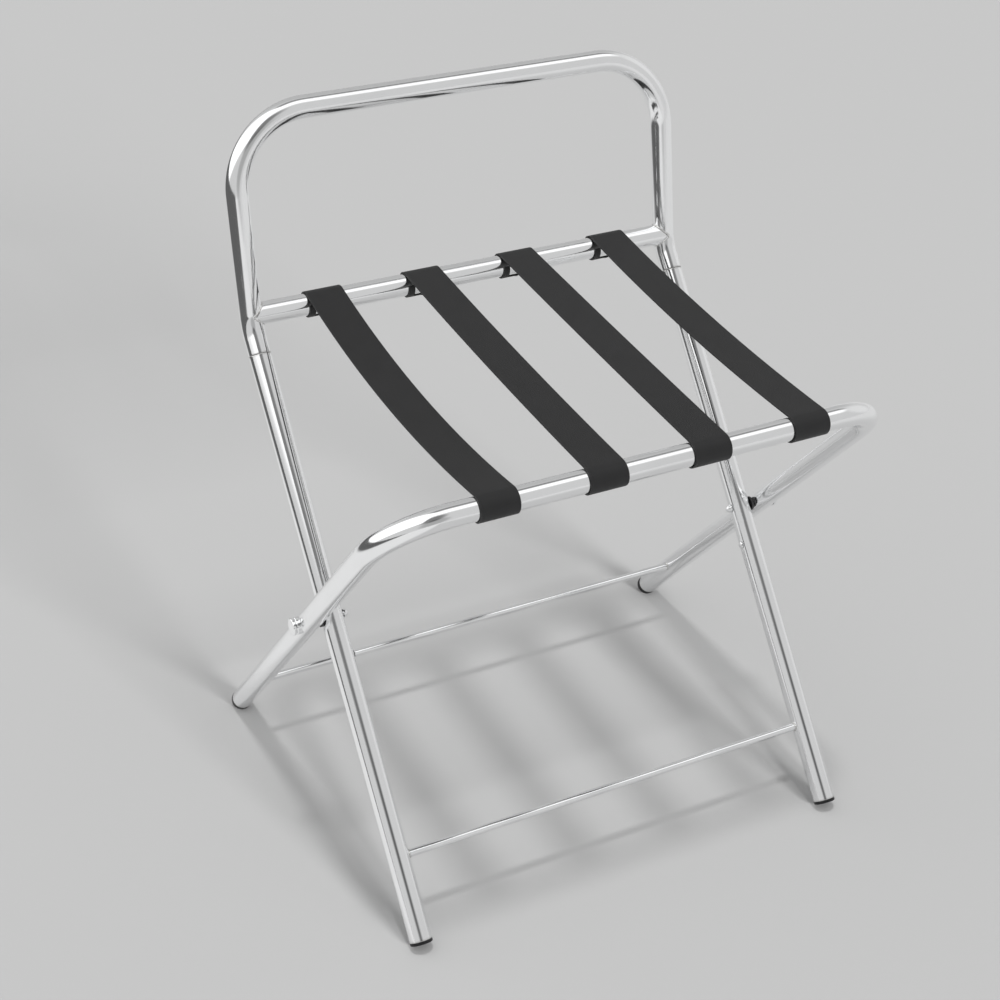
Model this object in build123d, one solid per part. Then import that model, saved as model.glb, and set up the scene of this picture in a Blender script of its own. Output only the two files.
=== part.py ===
from build123d import *
import math
import os

os.makedirs("parts", exist_ok=True)

# Folding luggage rack with a back hoop. Millimetres, +Z up, +X to the rack's right, +Y to its back.
# Origin: on the floor, at the middle of the whole rack's footprint.

# tube, rod and webbing stock
tube_diameter = 22.0
tube_wall = 1.2
rod_diameter = 8.0
strap_width = 38.0
strap_thickness = 1.6
strap_clearance = 0.3

# widths from the middle to the tube centres; the two frames pass each other with a gap
inner_half_width = 232.0
frame_gap = 3.0
outer_half_width = inner_half_width + tube_diameter + frame_gap

# side view, measured from the pivot axis
pivot_y = -13.4
pivot_z = 247.0
inner_leg_angle = 41.3
outer_leg_angle = 38.5
inner_reach_up = 290.0
outer_reach_up = 276.0
hoop_lean = 12.6
hoop_top_z = 660.0
knee_radius = 50.0
hoop_corner_radius = 74.0
front_corner_radius = 63.0
seam_below_knee = 30.0

# cross members
rear_bar_z = 474.5
front_rod_z = 69.5
rear_rod_z = 72.0

# straps
strap_centres = [-156.5, -50.5, 55.5, 161.5]
strap_sags = [16.0, 3.0, 1.0, 7.0]
strap_tail_lift = 20.0
strap_tongue = 6.5

# pivots
screw_diameter = 5.0
running_clearance = 0.05
head_diameter = 17.0
head_height = 3.6
neck_diameter = 13.0
neck_height = 0.9
saddle_height = 2.0
spacer_diameter = 15.0
nut_diameter = 7.8
nut_height = 5.0
nut_skirt = 1.5
nut_crown = 1.2
leg_rivet_drop = 40.0
body_gap = 0.3

# plug caps
cap_flange = 3.0
outer_cap_flange = 6.5
cap_stem = 12.0
cap_edge = 1.0
cap_flat = 0.9

# strap rivets
strap_rivet_diameter = 4.0
strap_rivet_head = 8.0

tube_radius = tube_diameter / 2
bore_radius = tube_radius - tube_wall
rod_radius = rod_diameter / 2
screw_radius = screw_diameter / 2


def side_point(x, along, height):
    """A point given across, behind the pivot axis, and above the floor."""
    return Vector(x, pivot_y + along, height)


def leg_direction(angle):
    """Unit vector up a leg; a positive angle leans to the back."""
    a = math.radians(angle)
    return Vector(0, math.sin(a), math.cos(a))


inner_up = leg_direction(inner_leg_angle)
outer_up = leg_direction(-outer_leg_angle)
hoop_up = leg_direction(hoop_lean)


def pivot_point(x):
    return side_point(x, 0, pivot_z)


def foot_point(x, up):
    """Where the leg's axis meets its cap's outer face, so the cap's low edge is on the floor."""
    height = tube_radius * abs(up.Y) - cap_flat
    run = (pivot_z - height) / up.Z
    return pivot_point(x) - up * run


def knee_point(x):
    return pivot_point(x) + inner_up * inner_reach_up


def hoop_corner(x):
    knee = knee_point(x)
    return knee + hoop_up * ((hoop_top_z - knee.Z) / hoop_up.Z)


def seam_point(x):
    return pivot_point(x) + inner_up * (inner_reach_up - seam_below_knee)


def front_corner(x):
    return pivot_point(x) + outer_up * outer_reach_up


def rounded_path(points, radii):
    """Straight runs joined by arcs; radii holds one bend radius per inner point."""
    edges = []
    start = points[0]
    for i, radius in enumerate(radii):
        corner = points[i + 1]
        back = (points[i] - corner).normalized()
        ahead = (points[i + 2] - corner).normalized()
        half = math.acos(back.dot(ahead)) / 2
        run = radius / math.tan(half)
        first = corner + back * run
        last = corner + ahead * run
        bisector = (back + ahead).normalized()
        middle = corner + bisector * (radius / math.sin(half) - radius)
        edges.append(Line(start, first).edge())
        edges.append(ThreePointArc(first, middle, last).edge())
        start = last
    edges.append(Line(start, points[-1]).edge())
    return Wire(edges)


def swept(path, radius):
    section = Plane(origin=path @ 0, z_dir=path % 0) * Circle(radius)
    return sweep(section, path=path)


def rod_between(a, b, radius):
    axis = b - a
    plane = Plane(origin=a, z_dir=axis)
    return plane * Cylinder(radius, axis.length, align=(Align.CENTER, Align.CENTER, Align.MIN))


def cross_hole(x, y, z, radius, length):
    """A cylinder along X, centred on the given point."""
    return Pos(x, y, z) * Rot(0, 90, 0) * Cylinder(radius, length)


def turned(x, points):
    """A turned piece about the pivot axis: points are (distance outwards from x, radius)."""
    side = 1 if x > 0 else -1
    outline = [(abs(x) + out, radius) for out, radius in points]
    face = make_face(Polyline(*[(a, r) for a, r in outline], close=True))
    solid = revolve(face, axis=Axis.X)
    if side < 0:
        solid = mirror(solid, about=Plane.YZ)
    return Pos(0, pivot_y, pivot_z) * solid


def save(shape, node):
    shape.label = node
    export_step(shape, "parts/" + node + ".step")


# ------- tubes
def hoop_points(tail_start):
    left = [tail_start(-inner_half_width), knee_point(-inner_half_width), hoop_corner(-inner_half_width)]
    right = [hoop_corner(inner_half_width), knee_point(inner_half_width), tail_start(inner_half_width)]
    return left + right


def tail_point(x):
    return seam_point(x) - inner_up * 30.0


hoop_radii = [knee_radius, hoop_corner_radius, hoop_corner_radius, knee_radius]
hoop_outer = swept(rounded_path(hoop_points(seam_point), hoop_radii), tube_radius)
hoop_bore = swept(rounded_path(hoop_points(tail_point), hoop_radii), bore_radius - 1.3)
hoop_tails = [
    rod_between(seam_point(x), tail_point(x), bore_radius - running_clearance)
    for x in (-inner_half_width, inner_half_width)
]
backrest_hoop = hoop_outer + hoop_tails[0] + hoop_tails[1] - hoop_bore
save(backrest_hoop, "backrest_hoop")


def inner_leg(x):
    top = seam_point(x) - inner_up * 0.2
    end = foot_point(x, inner_up) + inner_up * cap_flange
    leg = rod_between(end, top, tube_radius) - rod_between(end, top, bore_radius)
    leg -= cross_hole(x, pivot_y, pivot_z, screw_radius + running_clearance, 60)
    inside = pivot_point(x) - inner_up * leg_rivet_drop
    side = -1 if x > 0 else 1
    leg -= cross_hole(x + side * tube_radius, inside.Y, inside.Z, 2.0 + running_clearance, 12)
    return leg


save(inner_leg(-inner_half_width), "left_inner_leg")
save(inner_leg(inner_half_width), "right_inner_leg")

front_path = rounded_path(
    [
        foot_point(-outer_half_width, outer_up) + outer_up * outer_cap_flange,
        front_corner(-outer_half_width),
        front_corner(outer_half_width),
        foot_point(outer_half_width, outer_up) + outer_up * outer_cap_flange,
    ],
    [front_corner_radius, front_corner_radius],
)
front_outer = swept(front_path, tube_radius)
front_bore = swept(front_path, bore_radius)
front_bar = front_corner(0)
front_frame_tube = front_outer - front_bore
for x in (-outer_half_width, outer_half_width):
    front_frame_tube -= cross_hole(x, pivot_y, pivot_z, screw_radius + running_clearance, 60)
for x in strap_centres:
    front_frame_tube -= Pos(x, front_bar.Y, front_bar.Z - tube_radius) * Cylinder(2.05, 8)
save(front_frame_tube, "front_frame_tube")

# ------- cross members, shaped at their ends to the tubes they are welded to
hoop_run = (rear_bar_z - knee_point(0).Z) / hoop_up.Z
rear_bar = knee_point(0) + hoop_up * hoop_run
rear_strap_bar = cross_hole(0, rear_bar.Y, rear_bar.Z, tube_radius, 2 * inner_half_width)
rear_strap_bar -= cross_hole(0, rear_bar.Y, rear_bar.Z, bore_radius, 3 * inner_half_width)
rear_strap_bar -= hoop_outer
rear_strap_bar = max(rear_strap_bar.solids(), key=lambda s: s.volume)
for x in strap_centres:
    rear_strap_bar -= Pos(x, rear_bar.Y, rear_bar.Z - tube_radius) * Cylinder(2.05, 8)
save(rear_strap_bar, "rear_strap_bar")


def on_leg(up, height):
    return pivot_point(0) - up * ((pivot_z - height) / up.Z)


def stretcher(half_width, up, height):
    centre = on_leg(up, height)
    rod = cross_hole(0, centre.Y, centre.Z, rod_radius, 2 * half_width)
    for x in (-half_width, half_width):
        rod -= rod_between(foot_point(x, up), pivot_point(x), tube_radius)
    return rod


save(stretcher(inner_half_width, inner_up, front_rod_z), "front_stretcher")
save(stretcher(outer_half_width, outer_up, rear_rod_z), "rear_stretcher")


# ------- plug caps, cut flat where their low edge meets the floor
def plug_cap(x, up, flange_height):
    flange = Cylinder(tube_radius, flange_height, align=(Align.CENTER, Align.CENTER, Align.MIN))
    flange = fillet(flange.edges().sort_by(Axis.Z)[0], cap_edge)
    stem = Pos(0, 0, flange_height) * Cylinder(
        bore_radius - running_clearance, cap_stem, align=(Align.CENTER, Align.CENTER, Align.MIN)
    )
    stem = chamfer(stem.edges().sort_by(Axis.Z)[-1], 1.0)
    cup = Pos(0, 0, flange_height + 2) * Cylinder(
        bore_radius - 2.0, cap_stem, align=(Align.CENTER, Align.CENTER, Align.MIN)
    )
    cap = Plane(origin=foot_point(x, up), x_dir=(1, 0, 0), z_dir=up) * (flange + stem - cup)
    floor = Pos(x, 0, -50) * Box(100, 1000, 100)
    return cap - floor


save(plug_cap(-inner_half_width, inner_up, cap_flange), "left_inner_foot")
save(plug_cap(inner_half_width, inner_up, cap_flange), "right_inner_foot")
save(plug_cap(-outer_half_width, outer_up, outer_cap_flange), "left_outer_foot")
save(plug_cap(outer_half_width, outer_up, outer_cap_flange), "right_outer_foot")


# ------- pivots
def pivot_screw(x):
    """Shank, neck and domed head as one turned piece; x is the outer leg's centre."""
    crest = tube_radius + saddle_height
    inside = abs(x) - inner_half_width + tube_radius + body_gap + nut_height - nut_crown - 0.5
    top = crest + neck_height + head_height
    rim = head_diameter / 2
    return turned(
        x,
        [
            (-inside, 0),
            (-inside, screw_radius),
            (crest, screw_radius),
            (crest, neck_diameter / 2),
            (crest + neck_height, neck_diameter / 2),
            (crest + neck_height, rim - 0.5),
            (crest + neck_height + 0.5, rim),
            (top - 1.3, rim),
            (top - 0.6, rim - 0.6),
            (top - 0.2, rim - 1.8),
            (top, rim - 3.6),
            (top, 0),
        ],
    )


def saddle_washer(x):
    """Washer under the screw head, hollowed to sit on the outer leg."""
    rim = head_diameter / 2
    top = tube_radius + saddle_height
    low = 6.2
    ring = turned(
        x,
        [
            (low, screw_radius + running_clearance),
            (low, rim),
            (top - 0.5, rim),
            (top, rim - 0.5),
            (top, screw_radius + running_clearance),
        ],
    )
    leg = rod_between(foot_point(x, outer_up), front_corner(x), tube_radius + 0.02)
    return max((ring - leg).solids(), key=lambda s: s.volume)


def spacer_washer(x):
    """Black ring between the two legs; x is the outer leg's centre."""
    outside = -tube_radius
    inside = -(abs(x) - inner_half_width - tube_radius - body_gap)
    rim = spacer_diameter / 2
    hole = screw_radius + running_clearance
    return turned(
        x,
        [
            (inside, hole),
            (inside, rim - 0.4),
            (inside + 0.4, rim),
            (outside - 0.4, rim),
            (outside, rim - 0.4),
            (outside, hole),
        ],
    )


def dome_nut(x):
    """Dome nut on the inner side of the inner leg; x is the inner leg's centre."""
    face = -(tube_radius + body_gap)
    rim = nut_diameter / 2
    thread = screw_radius + 0.02
    dome = []
    for step in range(1, 9):
        turn = math.radians(90 * step / 8)
        rise = (nut_height - nut_skirt) * math.sin(turn)
        dome.append((face - nut_skirt - rise, rim * math.cos(turn)))
    dome[-1] = (dome[-1][0], 0)
    return turned(
        x,
        [
            (face, thread),
            (face, rim + 0.6),
            (face - 0.6, rim + 0.6),
            (face - 0.6, rim),
            (face - nut_skirt, rim),
        ]
        + dome
        + [(face - nut_height + nut_crown, 0), (face - nut_height + nut_crown, thread)],
    )


for side, name in ((-1, "left"), (1, "right")):
    save(pivot_screw(side * outer_half_width), name + "_pivot_screw")
    save(saddle_washer(side * outer_half_width), name + "_saddle_washer")
    save(spacer_washer(side * outer_half_width), name + "_spacer_washer")
    save(dome_nut(side * inner_half_width), name + "_dome_nut")


def domed_rivet(head_radius, shank_radius, shank_length):
    """Rivet along +Z: its head sits on the plane z = 0, its shank reaches below."""
    points = [
        (0, -shank_length),
        (shank_radius, -shank_length),
        (shank_radius, 0),
        (head_radius, 0),
        (head_radius - 0.2, 0.6),
        (head_radius * 0.7, 1.2),
        (head_radius * 0.35, 1.5),
        (0, 1.6),
    ]
    face = make_face(Polyline(*[(r, 0, z) for r, z in points], close=True))
    return revolve(face, axis=Axis.Z)


leg_rivets = []
for side in (-1, 1):
    at = pivot_point(side * (inner_half_width - tube_radius)) - inner_up * leg_rivet_drop
    leg_rivets.append(Plane(origin=at, z_dir=(-side, 0, 0)) * domed_rivet(4.0, 2.0, 3.0))
save(Compound(children=leg_rivets), "inner_leg_rivets")


# ------- straps: webbing looped round both bars, with its tails turned up on the inner side
loop_inner = tube_radius + strap_clearance
loop_outer = loop_inner + strap_thickness


def around(bar, angle, radius):
    """A point of the side view round a bar: 0 is the back, 90 the top, 180 the front."""
    a = math.radians(angle)
    return Vector(0, bar.Y + radius * math.cos(a), bar.Z + radius * math.sin(a))


def loop_arc(bar, radius, first, last):
    return ThreePointArc(
        around(bar, first, radius),
        around(bar, (first + last) / 2, radius),
        around(bar, last, radius),
    ).edge()


def strap(x, sag):
    span = rear_bar.Y - front_bar.Y
    fall = math.degrees(math.atan2(rear_bar.Z - front_bar.Z, span))
    bow = math.degrees(math.atan(4 * sag / span))
    leave = 90 + fall + bow
    arrive = 90 + fall - bow
    tail_rear = 180 - strap_tail_lift
    tail_front = 360 + strap_tail_lift

    def band(radius):
        a = around(rear_bar, leave, radius)
        b = around(front_bar, arrive, radius)
        ta = Vector(0, -math.sin(math.radians(leave)), math.cos(math.radians(leave)))
        tb = Vector(0, -math.sin(math.radians(arrive)), math.cos(math.radians(arrive)))
        return Spline(a, b, tangents=[ta, tb]).edge()

    edges = []
    for radius in (loop_outer, loop_inner):
        edges.append(loop_arc(rear_bar, radius, tail_rear, 360 + leave))
        edges.append(band(radius))
        edges.append(loop_arc(front_bar, radius, arrive, tail_front))
    for bar, angle in ((rear_bar, tail_rear), (front_bar, tail_front)):
        edges.append(Line(around(bar, angle, loop_inner), around(bar, angle, loop_outer)).edge())
    profile = make_face(Wire(Wire.combine(edges)[0].edges()))
    body = extrude(profile, amount=strap_width / 2, dir=(1, 0, 0), both=True)
    for bar in (rear_bar, front_bar):
        body -= Pos(0, bar.Y, bar.Z - tube_radius) * Cylinder(2.1, 8)
    # the rear tail is cut away in front of the bar, all but a tongue at its left edge
    trim = Box(strap_width, 15, 30, align=(Align.MIN, Align.MAX, Align.MAX))
    body -= Pos(strap_tongue - strap_width / 2, rear_bar.Y - 5, rear_bar.Z + 6) * trim
    return Pos(x, 0, 0) * body


for number, (x, sag) in enumerate(zip(strap_centres, strap_sags), start=1):
    save(strap(x, sag), "strap_" + str(number))


def strap_rivets(bar):
    low = bar.Z - loop_outer
    rivets = []
    for x in strap_centres:
        plane = Plane(origin=(x, bar.Y, low), z_dir=(0, 0, -1))
        rivets.append(plane * domed_rivet(strap_rivet_head / 2, strap_rivet_diameter / 2, 5.0))
    return Compound(children=rivets)


save(strap_rivets(rear_bar), "rear_strap_rivets")
save(strap_rivets(front_bar), "front_strap_rivets")
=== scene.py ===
import math

import bpy
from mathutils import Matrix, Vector


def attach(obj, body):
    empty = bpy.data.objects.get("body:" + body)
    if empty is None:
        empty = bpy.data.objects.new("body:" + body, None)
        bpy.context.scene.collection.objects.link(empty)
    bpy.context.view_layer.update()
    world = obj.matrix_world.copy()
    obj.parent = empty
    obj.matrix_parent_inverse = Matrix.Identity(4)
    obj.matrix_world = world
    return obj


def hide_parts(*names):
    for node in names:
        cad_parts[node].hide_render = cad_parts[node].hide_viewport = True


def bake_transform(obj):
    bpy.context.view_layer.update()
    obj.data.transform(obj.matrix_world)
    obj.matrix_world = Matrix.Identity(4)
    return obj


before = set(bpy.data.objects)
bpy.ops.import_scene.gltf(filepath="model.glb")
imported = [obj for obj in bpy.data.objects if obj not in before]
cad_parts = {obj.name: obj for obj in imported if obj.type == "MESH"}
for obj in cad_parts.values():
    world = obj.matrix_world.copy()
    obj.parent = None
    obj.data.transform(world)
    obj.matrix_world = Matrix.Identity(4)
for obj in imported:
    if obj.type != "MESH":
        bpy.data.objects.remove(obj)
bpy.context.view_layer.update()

print("frame loaded:", len(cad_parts), "pieces")

# sizes that several pieces share, in metres and degrees
rack = {
    "innerHalfWidth": 0.232,
    "outerHalfWidth": 0.257,
    "pivotY": -0.0134,
    "pivotZ": 0.247,
    "innerLean": 41.3,
    "outerLean": -38.5,
    "hoopLean": 12.6,
    "tubeRadius": 0.011,
    "tubeWall": 0.0012,
    "tubeSides": 64,
    "rodRadius": 0.004,
    "capFlat": 0.0009,  # depth of the flat that a plug cap stands on
    "strapWidth": 0.038,
}

# how a cut tube end is rolled in, and the extra rings that keep its shine straight
tubeEnd = {
    "lip": 0.0003,
    "reach": 0.0005,
    # each ring's place, in reaches from the end, and its share of the lip
    "rings": [(0.0, 1.0), (0.3, 0.35), (1.0, 0.0), (2.0, 0.0), (5.0, 0.0)],
}


# small helpers for node trees
def addNode(tree, kind, inputs=None, **settings):
    made = tree.nodes.new(kind)
    for name, value in settings.items():
        setattr(made, name, value)
    for name, value in (inputs or {}).items():
        socket = made.inputs[name]
        if isinstance(value, bpy.types.NodeSocket):
            tree.links.new(value, socket)
        else:
            socket.default_value = value
    return made


def calc(tree, operation, *values, clamp=False):
    inputs = dict(enumerate(values))
    made = addNode(tree, "ShaderNodeMath", inputs, operation=operation, use_clamp=clamp)
    return made.outputs[0]


def vectorOf(tree, x=0.0, y=0.0, z=0.0):
    return addNode(tree, "ShaderNodeCombineXYZ", {"X": x, "Y": y, "Z": z}).outputs[0]


def partsOf(tree, vector):
    return addNode(tree, "ShaderNodeSeparateXYZ", {0: vector}).outputs


def vectorCalc(tree, operation, *values):
    made = addNode(tree, "ShaderNodeVectorMath", dict(enumerate(values)), operation=operation)
    return made.outputs[0]


def attributeOf(tree, name):
    made = addNode(tree, "GeometryNodeInputNamedAttribute", {"Name": name}, data_type="FLOAT")
    return made.outputs[0]


def capture(tree, geometry, **fields):
    made = tree.nodes.new("GeometryNodeCaptureAttribute")
    tree.links.new(geometry, made.inputs["Geometry"])
    for name, (kind, value) in fields.items():
        made.capture_items.new(kind, name)
        tree.links.new(value, made.inputs[name])
    return made.outputs


def storeField(tree, geometry, name, kind, value, domain="POINT"):
    made = addNode(tree, "GeometryNodeStoreNamedAttribute", data_type=kind, domain=domain)
    tree.links.new(geometry, made.inputs["Geometry"])
    made.inputs["Name"].default_value = name
    tree.links.new(value, made.inputs["Value"])
    return made.outputs[0]


def newGeometryTree(name, inputs):
    tree = bpy.data.node_groups.new(name, "GeometryNodeTree")
    tree.interface.new_socket("Geometry", in_out="INPUT", socket_type="NodeSocketGeometry")
    tree.interface.new_socket("Geometry", in_out="OUTPUT", socket_type="NodeSocketGeometry")
    for label, kind, value in inputs + [("Material", "Material", None)]:
        socket = tree.interface.new_socket(label, in_out="INPUT", socket_type="NodeSocket" + kind)
        if value is not None:
            socket.default_value = value
    return tree, tree.nodes.new("NodeGroupInput").outputs


def closeGeometryTree(tree, geometry, given):
    smooth = addNode(tree, "GeometryNodeSetShadeSmooth", {"Geometry": geometry}).outputs[0]
    real = addNode(tree, "GeometryNodeRealizeInstances", {"Geometry": smooth}).outputs[0]
    coated = addNode(tree, "GeometryNodeSetMaterial", {"Geometry": real, "Material": given["Material"]})
    addNode(tree, "NodeGroupOutput", {"Geometry": coated.outputs[0]})


def growPiece(name, base, tree, values):
    # runs a tree on a base mesh and keeps the result as a plain mesh
    holder = bpy.data.objects.new(name + "Base", base)
    bpy.context.scene.collection.objects.link(holder)
    modifier = holder.modifiers.new("grow", "NODES")
    modifier.node_group = tree
    for item in tree.interface.items_tree:
        if item.item_type == "SOCKET" and item.in_out == "INPUT" and item.name in values:
            modifier[item.identifier] = values[item.name]
    graph = bpy.context.evaluated_depsgraph_get()
    mesh = bpy.data.meshes.new_from_object(holder.evaluated_get(graph))
    bpy.data.objects.remove(holder)
    mesh.name = name
    piece = bpy.data.objects.new(name, mesh)
    bpy.context.scene.collection.objects.link(piece)
    return piece


def routeMesh(points, scales=None):
    mesh = bpy.data.meshes.new("route")
    mesh.from_pydata([tuple(p) for p in points], [(i, i + 1) for i in range(len(points) - 1)], [])
    scale = mesh.attributes.new("tubeScale", "FLOAT", "POINT")
    scale.data.foreach_set("value", scales or [1.0] * len(points))
    return mesh


# the side view, as the metal is bent
def upAlong(lean):
    return Vector((0, math.sin(math.radians(lean)), math.cos(math.radians(lean))))


def pivotAt(x):
    return Vector((x, rack["pivotY"], rack["pivotZ"]))


def footAt(x, lean):
    # the middle of a plug cap's outer face, with its low edge on the floor
    up = upAlong(lean)
    height = rack["tubeRadius"] * abs(up.y) - rack["capFlat"]
    return pivotAt(x) - up * ((rack["pivotZ"] - height) / up.z)


def roundedRoute(corners, bends, steps):
    points = [corners[0]]
    for before, corner, after, bend in zip(corners, corners[1:], corners[2:], bends):
        back = (before - corner).normalized()
        ahead = (after - corner).normalized()
        half = back.angle(ahead) / 2
        centre = corner + (back + ahead).normalized() * (bend / math.sin(half))
        first = (corner + back * (bend / math.tan(half)) - centre).normalized()
        last = (corner + ahead * (bend / math.tan(half)) - centre).normalized()
        points += [centre + first.slerp(last, i / steps) * bend for i in range(steps + 1)]
    return points + [corners[-1]]


def withLips(points):
    # rolls the two cut ends of a tube in a little
    def ends(first, second):
        along = (second - first).normalized()
        return [first + along * tubeEnd["reach"] * reaches for reaches, _ in tubeEnd["rings"]]

    head = ends(points[0], points[1])
    tail = ends(points[-1], points[-2])
    inset = [1 - tubeEnd["lip"] * share / rack["tubeRadius"] for _, share in tubeEnd["rings"]]
    middle = points[1:-1]
    return head + middle + tail[::-1], inset + [1.0] * len(middle) + inset[::-1]


# shared shader groups
def newShaderGroup(name, inputs, outputs):
    tree = bpy.data.node_groups.new(name, "ShaderNodeTree")
    for label, kind, value in inputs:
        socket = tree.interface.new_socket(label, in_out="INPUT", socket_type="NodeSocket" + kind)
        if value is not None:
            socket.default_value = value
    for label, kind in outputs:
        tree.interface.new_socket(label, in_out="OUTPUT", socket_type="NodeSocket" + kind)
    return tree, tree.nodes.new("NodeGroupInput").outputs


def remap(tree, value, low, high, newLow=0.0, newHigh=1.0):
    return addNode(tree, "ShaderNodeMapRange", {
        "Value": value, "From Min": low, "From Max": high, "To Min": newLow, "To Max": newHigh,
    }).outputs[0]


def noiseOf(tree, vector, scale, detail=3.0, rough=0.5):
    return addNode(tree, "ShaderNodeTexNoise", {
        "Vector": vector, "Scale": scale, "Detail": detail, "Roughness": rough,
    }).outputs["Fac"]


def floatMix(tree, factor, first, second):
    made = addNode(tree, "ShaderNodeMix", {0: factor, 2: first, 3: second}, data_type="FLOAT")
    return made.outputs[0]


def buildPolishGroup():
    # faint drawing lines along a tube, cloudy wipe marks and a few hairline scratches
    tree, given = newShaderGroup("polishMarks", [
        ("Vector", "Vector", None), ("Line Density", "Float", 900.0), ("Cloud Density", "Float", 26.0),
    ], [("Haze", "Float"), ("Height", "Float"), ("Scratch", "Float")])
    x, y, z = partsOf(tree, given["Vector"])
    along = calc(tree, "MULTIPLY", z, 0.02)
    lines = noiseOf(tree, vectorOf(tree, x, y, along), given["Line Density"], 2.0)
    drawn = vectorOf(tree, x, y, calc(tree, "MULTIPLY", z, 0.4))
    clouds = noiseOf(tree, drawn, given["Cloud Density"], 5.0, 0.6)
    slant = calc(tree, "MULTIPLY", calc(tree, "ADD", z, calc(tree, "MULTIPLY", x, 2.4)), 0.06)
    hair = noiseOf(tree, vectorOf(tree, x, y, slant), 420.0, 1.0)
    scratch = remap(tree, hair, 0.70, 0.74)
    streaks = remap(tree, lines, 0.2, 0.8, 0.6, 1.0)
    haze = calc(tree, "MULTIPLY", remap(tree, clouds, 0.42, 0.72), streaks)
    cut = calc(tree, "MULTIPLY", scratch, -0.6)
    height = calc(tree, "ADD", calc(tree, "MULTIPLY", lines, 0.5), cut)
    addNode(tree, "NodeGroupOutput", {"Haze": haze, "Height": height, "Scratch": scratch})
    return tree


def buildWeaveGroup():
    # plain weave: rounded warp and weft threads that pass over one another in turn
    tree, given = newShaderGroup("wovenThreads", [
        ("Across", "Float", 0.0), ("Along", "Float", 0.0),
        ("Warp Pitch", "Float", 0.0008), ("Weft Pitch", "Float", 0.0011),
    ], [("Height", "Float"), ("Shade", "Float"), ("Fuzz", "Float")])
    u = calc(tree, "DIVIDE", given["Across"], given["Warp Pitch"])
    v = calc(tree, "DIVIDE", given["Along"], given["Weft Pitch"])
    slow = vectorOf(tree, calc(tree, "MULTIPLY", u, 0.05), calc(tree, "MULTIPLY", v, 0.4))
    drift = noiseOf(tree, slow, 1.0, 2.0)
    v = calc(tree, "ADD", v, calc(tree, "MULTIPLY", drift, 0.5))
    warp = calc(tree, "ABSOLUTE", calc(tree, "SINE", calc(tree, "MULTIPLY", u, math.pi)))
    weft = calc(tree, "ABSOLUTE", calc(tree, "SINE", calc(tree, "MULTIPLY", v, math.pi)))
    cell = calc(tree, "ADD", calc(tree, "FLOOR", u), calc(tree, "FLOOR", v))
    over = calc(tree, "PINGPONG", cell, 1.0)
    crown = calc(tree, "ADD", calc(tree, "MULTIPLY", weft, 0.45), 0.55)
    warpUp = calc(tree, "MULTIPLY", warp, crown)
    weftUp = calc(tree, "MULTIPLY", calc(tree, "MULTIPLY", weft, warp), 0.7)
    height = floatMix(tree, over, weftUp, warpUp)
    thread = vectorOf(tree, calc(tree, "FLOOR", u), calc(tree, "MULTIPLY", v, 0.08))
    single = remap(tree, noiseOf(tree, thread, 3.7, 2.0), 0.3, 0.7, 0.75, 1.0)
    # painted shade: a thread's colour darkens where it dips low, on top of a random tone for each
    # thread
    threadToneAndShade = calc(tree, "MULTIPLY", single, remap(tree, height, 0.0, 0.8, 0.55, 1.0))
    fibres = vectorOf(tree, calc(tree, "MULTIPLY", u, 3.1), calc(tree, "MULTIPLY", v, 0.7))
    fuzz = noiseOf(tree, fibres, 2.0, 4.0, 0.7)
    addNode(tree, "NodeGroupOutput", {"Height": height, "Shade": threadToneAndShade, "Fuzz": fuzz})
    return tree


def buildMouldGroup():
    # fine spark-eroded mould texture with scuffs
    tree, given = newShaderGroup("mouldedSkin", [
        ("Vector", "Vector", None), ("Grain", "Float", 2600.0),
    ], [("Height", "Float"), ("Scuff", "Float")])
    grain = noiseOf(tree, given["Vector"], given["Grain"], 2.0)
    scuff = remap(tree, noiseOf(tree, given["Vector"], 140.0, 5.0, 0.7), 0.52, 0.7)
    addNode(tree, "NodeGroupOutput", {"Height": grain, "Scuff": scuff})
    return tree


polishGroup = buildPolishGroup()
weaveGroup = buildWeaveGroup()
mouldGroup = buildMouldGroup()


# materials
def newMaterial(name, **fixed):
    made = bpy.data.materials.new(name)
    made.use_nodes = True
    shader = made.node_tree.nodes["Principled BSDF"]
    for label, value in fixed.items():
        shader.inputs[label.replace("_", " ")].default_value = value
    return made, made.node_tree, shader


def colourMix(tree, factor, first, second):
    made = addNode(tree, "ShaderNodeMix", {0: factor}, data_type="RGBA")
    for socket, value in ((made.inputs[6], first), (made.inputs[7], second)):
        if isinstance(value, bpy.types.NodeSocket):
            tree.links.new(value, socket)
        else:
            socket.default_value = (*value, 1.0)
    return made.outputs[2]


def bumpInto(tree, shader, height, strength, distance):
    bump = addNode(tree, "ShaderNodeBump", {"Strength": strength, "Distance": distance})
    tree.links.new(height, bump.inputs["Height"])
    tree.links.new(bump.outputs[0], shader.inputs["Normal"])


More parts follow.
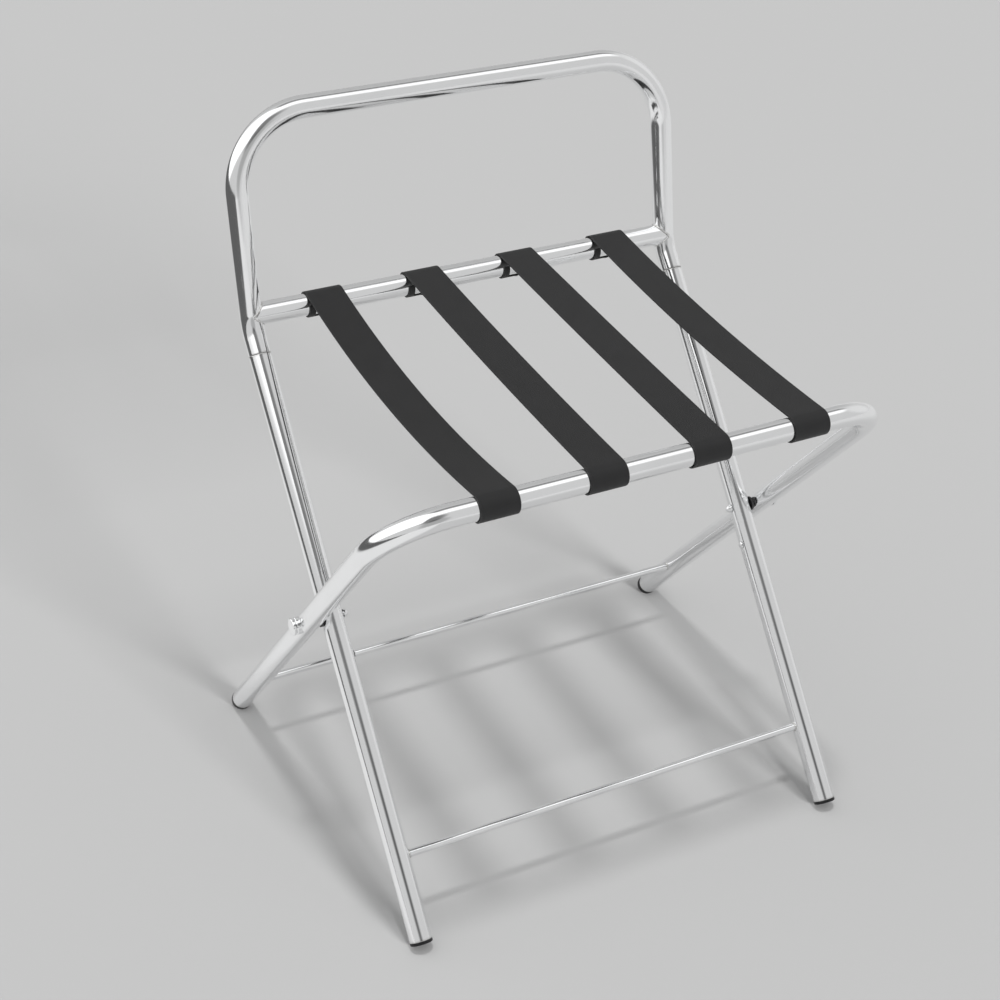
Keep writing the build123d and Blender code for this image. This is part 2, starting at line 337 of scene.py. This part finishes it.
def chromeMaterial(name, look):
    made, tree, shader = newMaterial(name, Metallic=1.0)
    if look["coordinates"] == "object":
        vector = addNode(tree, "ShaderNodeTexCoord").outputs["Object"]
    else:
        stored = addNode(tree, "ShaderNodeAttribute", attribute_name=look["coordinates"])
        vector = stored.outputs["Vector"]
    marks = addNode(tree, "ShaderNodeGroup", node_tree=polishGroup)
    tree.links.new(vector, marks.inputs["Vector"])
    marks.inputs["Line Density"].default_value = look["lines"]
    marks.inputs["Cloud Density"].default_value = look["clouds"]
    haze, scratch = marks.outputs["Haze"], marks.outputs["Scratch"]
    colour = colourMix(tree, haze, look["bright"], look["dull"])
    # painted shade and grime: the tube chrome turns grey within a few millimetres of each cut end,
    # where it meets a cap, a seam or a weld
    if look["coordinates"] == "tubeCoord":
        near = addNode(tree, "ShaderNodeAttribute", attribute_name="endDistance").outputs["Fac"]
        speck = calc(tree, "MULTIPLY", noiseOf(tree, vector, 900.0, 4.0, 0.7), look["grimeAndShadeRagged"])
        ring = remap(tree, calc(tree, "ADD", near, speck), *look["grimeAndShadeReach"])
        colour = colourMix(tree, ring, colour, look["grimeAndShade"])
    tree.links.new(colour, shader.inputs["Base Color"])
    rough = remap(tree, haze, 0.0, 1.0, *look["roughness"])
    rough = calc(tree, "ADD", rough, calc(tree, "MULTIPLY", scratch, 0.06))
    tree.links.new(rough, shader.inputs["Roughness"])
    bumpInto(tree, shader, marks.outputs["Height"], look["bump"], look["depth"])
    return made


tubeLook = {
    "coordinates": "tubeCoord", "lines": 900.0, "clouds": 26.0,
    "bright": (0.93, 0.935, 0.94), "dull": (0.88, 0.885, 0.89), "grimeAndShade": (0.50, 0.49, 0.48),
    "grimeAndShadeReach": (0.0032, 0.0006), "grimeAndShadeRagged": 0.002,  # metres from a cut end, over which the painted shade and grime fade out
    "roughness": (0.09, 0.17), "bump": 0.35, "depth": 0.00002,
}
tubeChrome = chromeMaterial("tubeChrome", tubeLook)
rodChrome = chromeMaterial("rodChrome", {
    **tubeLook, "clouds": 40.0, "dull": (0.74, 0.75, 0.76),
})
hardwareChrome = chromeMaterial("hardwareChrome", {
    **tubeLook, "coordinates": "object", "lines": 500.0, "clouds": 220.0, "roughness": (0.05, 0.14),
})
weldChrome = chromeMaterial("weldChrome", {
    **tubeLook, "coordinates": "object", "lines": 700.0, "clouds": 380.0,
    "bright": (0.80, 0.80, 0.79), "dull": (0.52, 0.51, 0.49), "roughness": (0.10, 0.26), "bump": 0.8,
})


def plasticMaterial(name, look):
    made, tree, shader = newMaterial(name, Specular_IOR_Level=look["gloss"])
    vector = addNode(tree, "ShaderNodeTexCoord").outputs["Object"]
    skin = addNode(tree, "ShaderNodeGroup", node_tree=mouldGroup)
    tree.links.new(vector, skin.inputs["Vector"])
    skin.inputs["Grain"].default_value = look["grain"]
    scuff = skin.outputs["Scuff"]
    dust = remap(tree, partsOf(tree, vector)[2], look["dustHeight"], 0.0)
    worn = calc(tree, "MULTIPLY", dust, scuff, clamp=True)
    tree.links.new(colourMix(tree, worn, look["colour"], look["dusty"]), shader.inputs["Base Color"])
    tree.links.new(remap(tree, scuff, 0.0, 1.0, *look["roughness"]), shader.inputs["Roughness"])
    bumpInto(tree, shader, skin.outputs["Height"], 0.5, look["depth"])
    return made


footPlastic = plasticMaterial("footPlastic", {
    "colour": (0.006, 0.006, 0.0065), "dusty": (0.03, 0.029, 0.028), "dustHeight": 0.006,
    "roughness": (0.36, 0.55), "gloss": 0.3, "grain": 2600.0, "depth": 0.00006,
})
blackNylon = plasticMaterial("blackNylon", {
    "colour": (0.016, 0.016, 0.017), "dusty": (0.03, 0.03, 0.03), "dustHeight": 0.002,
    "roughness": (0.38, 0.5), "gloss": 0.45, "grain": 1800.0, "depth": 0.00006,
})


def webbingMaterial(name, look):
    made, tree, shader = newMaterial(name, Specular_IOR_Level=look["gloss"])
    uv = addNode(tree, "ShaderNodeUVMap", uv_map="UVMap").outputs[0]
    across, along, _ = partsOf(tree, uv)
    threads = addNode(tree, "ShaderNodeGroup", node_tree=weaveGroup)
    tree.links.new(across, threads.inputs["Across"])
    tree.links.new(along, threads.inputs["Along"])
    threads.inputs["Warp Pitch"].default_value = look["warpPitch"]
    threads.inputs["Weft Pitch"].default_value = look["weftPitch"]
    # the selvedge is a dense cord down each edge, with a shallow groove beside it that is darkened with
    # painted shade
    fromEdge = calc(tree, "SUBTRACT", rack["strapWidth"] / 2, calc(tree, "ABSOLUTE", across))
    selvedge = remap(tree, fromEdge, *look["selvedge"])
    fromGroove = calc(tree, "ABSOLUTE", calc(tree, "SUBTRACT", fromEdge, look["grooveAt"]))
    groove = calc(tree, "SUBTRACT", 1.0, remap(tree, fromGroove, 0.0, look["grooveWidth"]))
    rubbed = vectorOf(tree, across, calc(tree, "MULTIPLY", along, 0.5))
    wear = remap(tree, noiseOf(tree, rubbed, 60.0, 5.0, 0.6), 0.3, 0.75)
    # the low spots of the weave take the gap shade, which is painted shade
    base = colourMix(tree, threads.outputs["Shade"], look["gap"], look["thread"])
    base = colourMix(tree, calc(tree, "MULTIPLY", wear, 0.5), base, look["worn"])
    # painted shade in the groove beside each selvedge
    base = colourMix(tree, calc(tree, "MULTIPLY", groove, 0.7), base, look["gap"])
    tree.links.new(base, shader.inputs["Base Color"])
    fuzz = threads.outputs["Fuzz"]
    rough = remap(tree, fuzz, 0.2, 0.8, *look["roughness"])
    rough = calc(tree, "ADD", rough, calc(tree, "MULTIPLY", selvedge, -0.05))
    tree.links.new(rough, shader.inputs["Roughness"])
    height = calc(tree, "ADD", threads.outputs["Height"], calc(tree, "MULTIPLY", fuzz, 0.35))
    height = calc(tree, "ADD", height, calc(tree, "MULTIPLY", selvedge, 0.6))
    height = calc(tree, "SUBTRACT", height, calc(tree, "MULTIPLY", groove, 0.9))
    bumpInto(tree, shader, height, 0.8, look["depth"])
    return made


webbing = webbingMaterial("webbing", {
    "thread": (0.006, 0.006, 0.0063), "gap": (0.002, 0.002, 0.0022), "worn": (0.010, 0.010, 0.0103),
    "warpPitch": 0.0008, "weftPitch": 0.0011, "depth": 0.00022,
    "selvedge": (0.0019, 0.0015), "grooveAt": 0.0021, "grooveWidth": 0.0005,  # metres in from an edge
    "roughness": (0.40, 0.55), "gloss": 0.42,
})
print("materials ready")


# geometry trees
def circleOf(tree, steps, radius):
    made = addNode(tree, "GeometryNodeCurvePrimitiveCircle", {"Resolution": steps, "Radius": radius})
    return made.outputs[0]


def crossLine(tree, half, steps):
    # a straight line across the rack, resampled
    line = addNode(tree, "GeometryNodeCurvePrimitiveLine", {
        "Start": vectorOf(tree, calc(tree, "MULTIPLY", half, -1.0)), "End": vectorOf(tree, half),
    }).outputs[0]
    return addNode(tree, "GeometryNodeResampleCurve", {"Curve": line, "Count": steps}).outputs[0]


def moved(tree, geometry, **where):
    return addNode(tree, "GeometryNodeSetPosition", {"Geometry": geometry, **where}).outputs[0]


def buildTubeTree():
    # a round tube along the route that the modifier is given
    tree, given = newGeometryTree("bentTube", [
        ("Tube Radius", "Float", 0.011), ("Sides", "Int", 64),
    ])
    line = addNode(tree, "GeometryNodeMeshToCurve", {"Mesh": given["Geometry"]}).outputs[0]
    length = tree.nodes.new("GeometryNodeSplineParameter").outputs["Length"]
    whole = tree.nodes.new("GeometryNodeSplineLength").outputs["Length"]
    end = calc(tree, "MINIMUM", length, calc(tree, "SUBTRACT", whole, length))
    line = capture(tree, line, along=("FLOAT", length), end=("FLOAT", end))
    place = tree.nodes.new("GeometryNodeInputPosition").outputs[0]
    ring = circleOf(tree, given["Sides"], given["Tube Radius"])
    ring = capture(tree, ring, round=("VECTOR", place))
    scale = attributeOf(tree, "tubeScale")
    skin = addNode(tree, "GeometryNodeCurveToMesh", {
        "Curve": line["Geometry"], "Profile Curve": ring["Geometry"], "Scale": scale,
    }).outputs[0]
    x, y, _ = partsOf(tree, ring["round"])
    skin = storeField(tree, skin, "tubeCoord", "FLOAT_VECTOR", vectorOf(tree, x, y, line["along"]))
    skin = storeField(tree, skin, "endDistance", "FLOAT", line["end"])
    closeGeometryTree(tree, skin, given)
    return tree


def copedX(tree, given, y, z):
    # how far out the joined tube's skin is, for a point at y, z off the rod's axis
    lean = given["Joined Lean"]
    acrossY = calc(tree, "MULTIPLY", y, calc(tree, "COSINE", lean))
    acrossZ = calc(tree, "MULTIPLY", z, calc(tree, "SINE", lean))
    off = calc(tree, "SUBTRACT", acrossY, acrossZ)
    whole = calc(tree, "MULTIPLY", given["Joined Radius"], given["Joined Radius"])
    left = calc(tree, "SUBTRACT", whole, calc(tree, "MULTIPLY", off, off))
    depth = calc(tree, "SQRT", calc(tree, "MAXIMUM", left, 0.0))
    return calc(tree, "SUBTRACT", given["Half Span"], depth)


cope = {"rings": 160, "ease": 0.040}  # the last 40 mm of a rod take up its coped end
bead = {
    "loopSteps": 144, "sides": 14,
    "sink": 0.25,  # share of the bead's radius that lies in the joint
    "least": 0.55, "ripple": 0.22, "lumps": 0.5, "lumpScale": 420.0,
}
crossInputs = [
    ("Half Span", "Float", 0.232), ("Rod Radius", "Float", 0.004), ("Joined Radius", "Float", 0.011),
    ("Joined Lean", "Float", 0.0), ("Centre", "Vector", None),
]


def buildRodTree():
    # a round rod or tube across the rack, its ends coped to the tubes that it joins
    tree, given = newGeometryTree("copedRod", crossInputs + [("Sides", "Int", 64)])
    span = given["Half Span"]
    line = crossLine(tree, span, cope["rings"])
    place = tree.nodes.new("GeometryNodeInputPosition").outputs[0]
    ring = circleOf(tree, given["Sides"], given["Rod Radius"])
    ring = capture(tree, ring, round=("VECTOR", place))
    skin = addNode(tree, "GeometryNodeCurveToMesh", {
        "Curve": line, "Profile Curve": ring["Geometry"],
    }).outputs[0]
    x, y, z = partsOf(tree, place)
    out = calc(tree, "ABSOLUTE", x)
    reach = copedX(tree, given, y, z)
    # eased in, so that every ring stays on the rod's own skin
    near = remap(tree, calc(tree, "SUBTRACT", span, out), cope["ease"], 0.0)
    cut = calc(tree, "MULTIPLY", near, calc(tree, "SUBTRACT", span, reach))
    coped = calc(tree, "MULTIPLY", calc(tree, "SIGN", x), calc(tree, "SUBTRACT", out, cut))
    skin = moved(tree, skin, Position=vectorOf(tree, coped, y, z))
    ringX, ringY, _ = partsOf(tree, ring["round"])
    skin = storeField(tree, skin, "tubeCoord", "FLOAT_VECTOR", vectorOf(tree, ringX, ringY, x))
    skin = storeField(tree, skin, "endDistance", "FLOAT", calc(tree, "SUBTRACT", reach, out))
    skin = moved(tree, skin, Offset=given["Centre"])
    closeGeometryTree(tree, skin, given)
    return tree


def buildBeadTree():
    # a weld bead that follows the curve where a round rod meets a tube, with overlapping ripples
    tree, given = newGeometryTree("weldBead", crossInputs + [
        ("Side", "Float", 1.0), ("Bead Radius", "Float", 0.0010), ("Ripples", "Float", 15.0),
    ])
    sink = calc(tree, "MULTIPLY", given["Bead Radius"], bead["sink"])
    loop = circleOf(tree, bead["loopSteps"], calc(tree, "ADD", given["Rod Radius"], sink))
    place = tree.nodes.new("GeometryNodeInputPosition").outputs[0]
    y, z, _ = partsOf(tree, place)
    reach = calc(tree, "SUBTRACT", copedX(tree, given, y, z), sink)
    turn = tree.nodes.new("GeometryNodeSplineParameter").outputs["Factor"]
    loop = capture(tree, loop, turn=("FLOAT", turn), home=("VECTOR", place))
    outward = calc(tree, "MULTIPLY", reach, given["Side"])
    bent = moved(tree, loop["Geometry"], Position=vectorOf(tree, outward, y, z))
    phase = calc(tree, "MULTIPLY", calc(tree, "MULTIPLY", loop["turn"], math.pi), given["Ripples"])
    wave = calc(tree, "ABSOLUTE", calc(tree, "SINE", phase))
    lumps = noiseOf(tree, loop["home"], bead["lumpScale"], 2.0)
    body = calc(tree, "ADD", bead["least"], calc(tree, "MULTIPLY", lumps, bead["lumps"]))
    scale = calc(tree, "ADD", calc(tree, "MULTIPLY", wave, bead["ripple"]), body)
    ring = circleOf(tree, bead["sides"], given["Bead Radius"])
    skin = addNode(tree, "GeometryNodeCurveToMesh", {
        "Curve": bent, "Profile Curve": ring, "Scale": scale,
    }).outputs[0]
    closeGeometryTree(tree, moved(tree, skin, Offset=given["Centre"]), given)
    return tree


def buildStrapTree():
    # a flat band that follows its route in the side view; the tail keeps only a tongue
    tree, given = newGeometryTree("wovenBand", [
        ("Band Width", "Float", 0.038), ("Columns", "Int", 13), ("Centre", "Float", 0.0),
        ("Tongue Width", "Float", 0.0067), ("Tail Length", "Float", 0.0),
    ])
    line = addNode(tree, "GeometryNodeMeshToCurve", {"Mesh": given["Geometry"]}).outputs[0]
    length = tree.nodes.new("GeometryNodeSplineParameter").outputs["Length"]
    place = tree.nodes.new("GeometryNodeInputPosition").outputs[0]
    line = capture(tree, line, along=("FLOAT", length), home=("VECTOR", place))
    half = calc(tree, "MULTIPLY", given["Band Width"], 0.5)
    width = crossLine(tree, half, given["Columns"])
    width = capture(tree, width, across=("FLOAT", partsOf(tree, place)[0]))
    band = addNode(tree, "GeometryNodeCurveToMesh", {
        "Curve": line["Geometry"], "Profile Curve": width["Geometry"],
    }).outputs[0]
    across, along = width["across"], line["along"]
    aside = vectorOf(tree, calc(tree, "ADD", across, given["Centre"]))
    band = moved(tree, band, Position=vectorCalc(tree, "ADD", line["home"], aside))
    band = storeField(tree, band, "UVMap", "FLOAT2", vectorOf(tree, across, along), domain="CORNER")
    inTail = calc(tree, "LESS_THAN", along, given["Tail Length"])
    pastTongue = calc(tree, "GREATER_THAN", across, calc(tree, "SUBTRACT", given["Tongue Width"], half))
    band = addNode(tree, "GeometryNodeDeleteGeometry", {
        "Geometry": band, "Selection": calc(tree, "MULTIPLY", inTail, pastTongue),
    }, domain="FACE").outputs[0]
    closeGeometryTree(tree, band, given)
    return tree


tubeTree = buildTubeTree()
rodTree = buildRodTree()
beadTree = buildBeadTree()
strapTree = buildStrapTree()
print("geometry trees ready")


def wallUp(piece):
    wall = piece.modifiers.new("wall", "SOLIDIFY")
    wall.thickness = rack["tubeWall"]
    wall.offset = -1.0
    return piece


def bendTube(name, route):
    points, scales = withLips(route)
    piece = growPiece(name, routeMesh(points, scales), tubeTree, {
        "Tube Radius": rack["tubeRadius"], "Sides": rack["tubeSides"], "Material": tubeChrome,
    })
    return wallUp(piece)


# back frame: hoop and inner legs
backFrame = {
    "top": 0.660, "innerReach": 0.290, "seamBelowKnee": 0.030, "kneeRadius": 0.050,
    "cornerRadius": 0.074, "bendSteps": 28, "seamGap": 0.0002, "capFlange": 0.003,
}


def kneeAt(x):
    return pivotAt(x) + upAlong(rack["innerLean"]) * backFrame["innerReach"]


def seamAt(x):
    reach = backFrame["innerReach"] - backFrame["seamBelowKnee"]
    return pivotAt(x) + upAlong(rack["innerLean"]) * reach


def hoopCornerAt(x):
    up = upAlong(rack["hoopLean"])
    knee = kneeAt(x)
    return knee + up * ((backFrame["top"] - knee.z) / up.z)


def makeHoop():
    half = rack["innerHalfWidth"]
    corners = [seamAt(-half), kneeAt(-half), hoopCornerAt(-half),
               hoopCornerAt(half), kneeAt(half), seamAt(half)]
    knee, corner = backFrame["kneeRadius"], backFrame["cornerRadius"]
    bends = [knee, corner, corner, knee]
    piece = bendTube("backrestHoop", roundedRoute(corners, bends, backFrame["bendSteps"]))
    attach(piece, "back_frame")
    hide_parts("backrest_hoop")


def makeInnerLeg(name, x, node):
    up = upAlong(rack["innerLean"])
    low = footAt(x, rack["innerLean"]) + up * backFrame["capFlange"]
    piece = bendTube(name, [low, pivotAt(x), seamAt(x) - up * backFrame["seamGap"]])
    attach(piece, "back_frame")
    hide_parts(node)


makeHoop()
makeInnerLeg("leftInnerLeg", -rack["innerHalfWidth"], "left_inner_leg")
makeInnerLeg("rightInnerLeg", rack["innerHalfWidth"], "right_inner_leg")
print("back frame bent")

# front frame: one tube
frontFrame = {"outerReach": 0.276, "cornerRadius": 0.063, "bendSteps": 32, "capFlange": 0.0065}


def frontCornerAt(x):
    return pivotAt(x) + upAlong(rack["outerLean"]) * frontFrame["outerReach"]


def makeFrontFrame():
    half = rack["outerHalfWidth"]
    up = upAlong(rack["outerLean"])
    cut = up * frontFrame["capFlange"]
    corners = [footAt(-half, rack["outerLean"]) + cut, frontCornerAt(-half),
               frontCornerAt(half), footAt(half, rack["outerLean"]) + cut]
    bends = [frontFrame["cornerRadius"]] * 2
    piece = bendTube("frontFrameTube", roundedRoute(corners, bends, frontFrame["bendSteps"]))
    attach(piece, "front_frame")
    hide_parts("front_frame_tube")


makeFrontFrame()
print("front frame bent")

# cross members, coped to the tubes they are welded to
crossHeights = {"rearBar": 0.4745, "frontRod": 0.0695, "rearRod": 0.0720}


def onTube(start, lean, height):
    # the point of a leaning tube's axis at a height
    up = upAlong(lean)
    return start + up * ((height - start.z) / up.z)


rearBar = onTube(kneeAt(0), rack["hoopLean"], crossHeights["rearBar"])
barLook = {
    "radius": rack["tubeRadius"], "hollow": True, "slot": "tube_chrome", "material": tubeChrome,
    "bead": 0.0009, "ripples": 30.0,
}
rodLook = {
    "radius": rack["rodRadius"], "hollow": False, "slot": "rod_chrome", "material": rodChrome,
    "bead": 0.0008, "ripples": 12.0,
}
crossMembers = [
    {**barLook, "name": "rearStrapBar", "node": "rear_strap_bar", "body": "back_frame",
     "half": rack["innerHalfWidth"], "lean": rack["hoopLean"], "centre": rearBar},
    {**rodLook, "name": "frontStretcher", "node": "front_stretcher", "body": "back_frame",
     "half": rack["innerHalfWidth"], "lean": rack["innerLean"],
     "centre": onTube(pivotAt(0), rack["innerLean"], crossHeights["frontRod"])},
    {**rodLook, "name": "rearStretcher", "node": "rear_stretcher", "body": "front_frame",
     "half": rack["outerHalfWidth"], "lean": rack["outerLean"],
     "centre": onTube(pivotAt(0), rack["outerLean"], crossHeights["rearRod"])},
]


def makeCrossMember(member):
    values = {
        "Half Span": member["half"], "Rod Radius": member["radius"], "Centre": member["centre"],
        "Joined Radius": rack["tubeRadius"], "Joined Lean": math.radians(member["lean"]),
        "Sides": rack["tubeSides"], "Material": member["material"],
    }
    empty = bpy.data.meshes.new("start")
    rod = growPiece(member["name"], empty, rodTree, values)
    if member["hollow"]:
        wallUp(rod)
    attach(rod, member["body"])
    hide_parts(member["node"])
    for side, label in ((-1.0, "Left"), (1.0, "Right")):
        weld = growPiece(member["name"] + "Weld" + label, empty, beadTree, {
            **values, "Side": side, "Bead Radius": member["bead"], "Ripples": member["ripples"],
            "Material": weldChrome,
        })
        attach(weld, member["body"])


for member in crossMembers:
    makeCrossMember(member)
print("cross members welded")

# straps
strap = {
    "centres": [-0.1565, -0.0505, 0.0555, 0.1615], "sags": [0.016, 0.003, 0.001, 0.007],
    "width": rack["strapWidth"], "thickness": 0.0016, "clearance": 0.0003, "tongue": 0.0067,
    # degrees round a bar: 0 is the back, 90 the top, 180 the front
    "tongueTurns": (160, 171, 182, 193, 204, 215, 225, 235, 245), "tailLift": 20.0,
    "columns": 13, "wrapSteps": 26, "bandSteps": 72, "loopSteps": 30,
    "edgeRound": 0.0004, "edgeSteps": 3, "edgeAngle": 60.0,
    "blendIn": 0.014, "blendUp": 0.010,  # where the bend begins, in from each bar's axis and above it
}
frontBar = frontCornerAt(0)


def aroundBar(bar, angle, radius):
    a = math.radians(angle)
    return Vector((0, bar.y + radius * math.cos(a), bar.z + radius * math.sin(a)))


def tangentAt(angle):
    a = math.radians(angle)
    return Vector((0, -math.sin(a), math.cos(a)))


def wrapBar(bar, first, last, steps, radius):
    return [aroundBar(bar, first + (last - first) * i / steps, radius) for i in range(1, steps + 1)]


def strapRoute(sag):
    # the tongue under the rear bar, round that bar, across to the front bar and round it
    radius = rack["tubeRadius"] + strap["clearance"] + strap["thickness"] / 2
    span = rearBar.y - frontBar.y
    fall = math.degrees(math.atan2(rearBar.z - frontBar.z, span))
    bow = math.degrees(math.atan(4 * sag / span))
    leave, arrive = 90 + fall + bow, 90 + fall - bow
    tail = [aroundBar(rearBar, a, radius) for a in strap["tongueTurns"]]
    wrap = wrapBar(rearBar, strap["tongueTurns"][-1], 360 + leave, strap["wrapSteps"], radius)
    start, end = wrap[-1], aroundBar(frontBar, arrive, radius)
    pull = (end - start).length
    startPull, endPull = tangentAt(leave) * pull, tangentAt(arrive) * pull
    band = []
    for i in range(1, strap["bandSteps"] + 1):
        t = i / strap["bandSteps"]
        band.append(start * (2 * t**3 - 3 * t**2 + 1) + startPull * (t**3 - 2 * t**2 + t)
                    + end * (-2 * t**3 + 3 * t**2) + endPull * (t**3 - t**2))
    loop = wrapBar(frontBar, arrive, 360 + strap["tailLift"], strap["loopSteps"], radius)
    return tail + wrap + band + loop, len(tail)


def lengthOf(points):
    return sum((b - a).length for a, b in zip(points, points[1:]))


def makeStrap(number, centre, sag):
    route, tailCount = strapRoute(sag)
    tail = lengthOf(route[:tailCount])
    piece = growPiece("strap%d" % number, routeMesh(route), strapTree, {
        "Band Width": strap["width"], "Columns": strap["columns"], "Centre": centre,
        "Tongue Width": strap["tongue"], "Tail Length": tail, "Material": webbing,
    })
    thick = piece.modifiers.new("thickness", "SOLIDIFY")
    thick.thickness = strap["thickness"]
    thick.offset = 0.0
    edge = piece.modifiers.new("edge", "BEVEL")
    edge.width = strap["edgeRound"]
    edge.segments = strap["edgeSteps"]
    edge.limit_method = "ANGLE"
    edge.angle_limit = math.radians(strap["edgeAngle"])
    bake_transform(piece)
    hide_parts("strap_%d" % number)


for number, (centre, sag) in enumerate(zip(strap["centres"], strap["sags"]), start=1):
    makeStrap(number, centre, sag)
print("straps woven")


# fittings that keep their own shape
def coat(material, *names):
    for name in names:
        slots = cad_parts[name].data.materials
        slots.clear()
        slots.append(material)


coat(hardwareChrome, "left_pivot_screw", "right_pivot_screw", "left_saddle_washer",
     "right_saddle_washer", "left_dome_nut", "right_dome_nut",
     "inner_leg_rivets", "rear_strap_rivets", "front_strap_rivets")
coat(blackNylon, "left_spacer_washer", "right_spacer_washer")
coat(footPlastic, "left_inner_foot", "right_inner_foot", "left_outer_foot", "right_outer_foot")
print("fittings coated")

# studio
studio = {
    "floorSize": 40.0, "floorGrey": 0.360, "floorFleck": 0.003, "backdrop": 0.57,
    # painted light and shade on the floor that only the metal's reflections see: palest beside the left
    # legs, pale at the right, dark far left
    "floorMirrored": 0.352,
    "mirroredLightZones": [
        {"way": (0.0, 1.0, 0.0), "edge": (0.30, 0.70), "grey": 0.378},
        {"way": (0.95, -0.30, 0.0), "edge": (0.50, 1.60), "grey": 0.45},
        {"way": (-1.0, 0.0, 0.0), "edge": (0.22, 0.34), "grey": 0.50},
        {"way": (-0.80, 0.60, 0.0), "edge": (0.90, 1.35), "grey": 0.072},
    ],
    "room": 0.63,
    # one large soft panel fills the left and the back left; each plane's way points into it
    "panel": 1.25, "panelEdge": 0.05,
    "panelPlanes": [(-0.927, -0.375, 0.0), (0.177, 0.62, 0.764), (-0.788, 0.616, 0.0)],
    "patches": [
        {"way": (-0.25, -0.62, 0.74), "edge": (0.90, 0.985), "gain": -0.42},
        {"way": (-0.18, -0.93, 0.30), "edge": (0.90, 0.975), "gain": -0.22},
        {"way": (0.93, 0.05, 0.36), "edge": (0.86, 0.98), "gain": 0.14},
        {"way": (0.30, 0.80, 0.50), "edge": (0.80, 0.96), "gain": -0.14},
    ],
    # a long light overhead, with a dark edge along its back, above this height
    "overheadFrom": (0.66, 0.78), "overheadTurn": (62.0, 72.0, 92.0, 97.0), "overheadGain": 0.55,
    "edgeTurn": (97.0, 103.0, 110.0, 118.0), "edgeGain": -0.40,
    "suns": [
        {"name": "overheadLight", "towards": (-0.04, 0.02, 1.0), "spread": 6.0, "power": 1.2},
        {"name": "frontLight", "towards": (0.20, -1.0, 0.42), "spread": 16.0, "power": 3.4},
    ],
}


def facing(tree, vector, zone):
    # 1 where the vector points the zone's way, with a soft edge
    inputs = {0: vector, 1: Vector(zone["way"])}
    towards = addNode(tree, "ShaderNodeVectorMath", inputs, operation="DOT_PRODUCT").outputs["Value"]
    low, high = zone["edge"]
    return addNode(tree, "ShaderNodeMapRange", {
        "Value": towards, "From Min": low, "From Max": high,
    }, interpolation_type="SMOOTHSTEP").outputs[0]


def makeFloor():
    mesh = bpy.data.meshes.new("floor")
    half = studio["floorSize"] / 2
    corners = [(-half, -half, 0), (half, -half, 0), (half, half, 0), (-half, half, 0)]
    mesh.from_pydata(corners, [], [(0, 1, 2, 3)])
    floor = bpy.data.objects.new("floor", mesh)
    bpy.context.scene.collection.objects.link(floor)
    made, tree, shader = newMaterial("floorPaper", Roughness=0.9, Specular_IOR_Level=0.0)
    vector = addNode(tree, "ShaderNodeTexCoord").outputs["Object"]
    fleck = noiseOf(tree, vector, 3.0, 4.0)
    grey, change = studio["floorGrey"], studio["floorFleck"]
    paper = colourMix(tree, fleck, (grey * (1 - change),) * 3, (grey * (1 + change),) * 3)
    mirrored = (studio["floorMirrored"],) * 3
    for zone in studio["mirroredLightZones"]:
        mirrored = colourMix(tree, facing(tree, vector, zone), mirrored, (zone["grey"],) * 3)
    # glossy rays see the painted light and shade of the zones, the lens sees plain paper
    glossy = addNode(tree, "ShaderNodeLightPath").outputs["Is Glossy Ray"]
    tree.links.new(colourMix(tree, glossy, paper, mirrored), shader.inputs["Base Color"])
    mesh.materials.append(made)


def makeWorld():
    world = bpy.data.worlds.new("studio")
    bpy.context.scene.world = world
    world.use_nodes = True
    tree = world.node_tree
    way = addNode(tree, "ShaderNodeTexCoord").outputs["Generated"]
    light = studio["room"]
    for patch in studio["patches"]:
        light = calc(tree, "MULTIPLY_ADD", facing(tree, way, patch), patch["gain"], light)
    _, y, z = partsOf(tree, way)
    turn = calc(tree, "ARCTAN2", z, calc(tree, "MULTIPLY", y, -1.0))
    turn = calc(tree, "MULTIPLY", turn, 180 / math.pi)  # degrees up from the front
    high = remap(tree, z, *studio["overheadFrom"])
    for (rise, full, fall, gone), gain in ((studio["overheadTurn"], studio["overheadGain"]),
                                           (studio["edgeTurn"], studio["edgeGain"])):
        strip = calc(tree, "MINIMUM", remap(tree, turn, rise, full), remap(tree, turn, gone, fall))
        light = calc(tree, "MULTIPLY_ADD", calc(tree, "MULTIPLY", strip, high), gain, light)
    panel = 1.0
    for plane in studio["panelPlanes"]:
        edge = {"way": plane, "edge": (-studio["panelEdge"], studio["panelEdge"])}
        panel = calc(tree, "MULTIPLY", panel, facing(tree, way, edge))
    light = floatMix(tree, panel, light, studio["panel"])
    # the lens sees a plain backdrop, everything else sees the lights
    seen = addNode(tree, "ShaderNodeLightPath").outputs["Is Camera Ray"]
    light = floatMix(tree, seen, light, studio["backdrop"])
    tree.links.new(light, tree.nodes["Background"].inputs["Color"])


def makeSun(given):
    data = bpy.data.lights.new(given["name"], "SUN")
    data.angle = math.radians(given["spread"])
    data.energy = given["power"]
    sun = bpy.data.objects.new(given["name"], data)
    sun.rotation_euler = Vector(given["towards"]).to_track_quat("Z", "Y").to_euler()
    sun.visible_glossy = False  # it shades the floor but isn't mirrored in the metal
    bpy.context.scene.collection.objects.link(sun)


makeFloor()
makeWorld()
for given in studio["suns"]:
    makeSun(given)

cameraSetup = {
    "place": (-0.8123, -1.3697, 1.3815), "turn": (55.934, -2.568, -27.422),
    "lens": 69.9, "sensor": 36.0, "clip": (0.05, 100.0),
}


def makeCamera():
    data = bpy.data.cameras.new("camera")
    data.lens = cameraSetup["lens"]
    data.sensor_width = cameraSetup["sensor"]
    data.clip_start, data.clip_end = cameraSetup["clip"]
    camera = bpy.data.objects.new("camera", data)
    camera.location = cameraSetup["place"]
    camera.rotation_euler = [math.radians(a) for a in cameraSetup["turn"]]
    bpy.context.scene.collection.objects.link(camera)
    bpy.context.scene.camera = camera


makeCamera()
bpy.context.scene.view_settings.view_transform = "Standard"
print("studio lit")
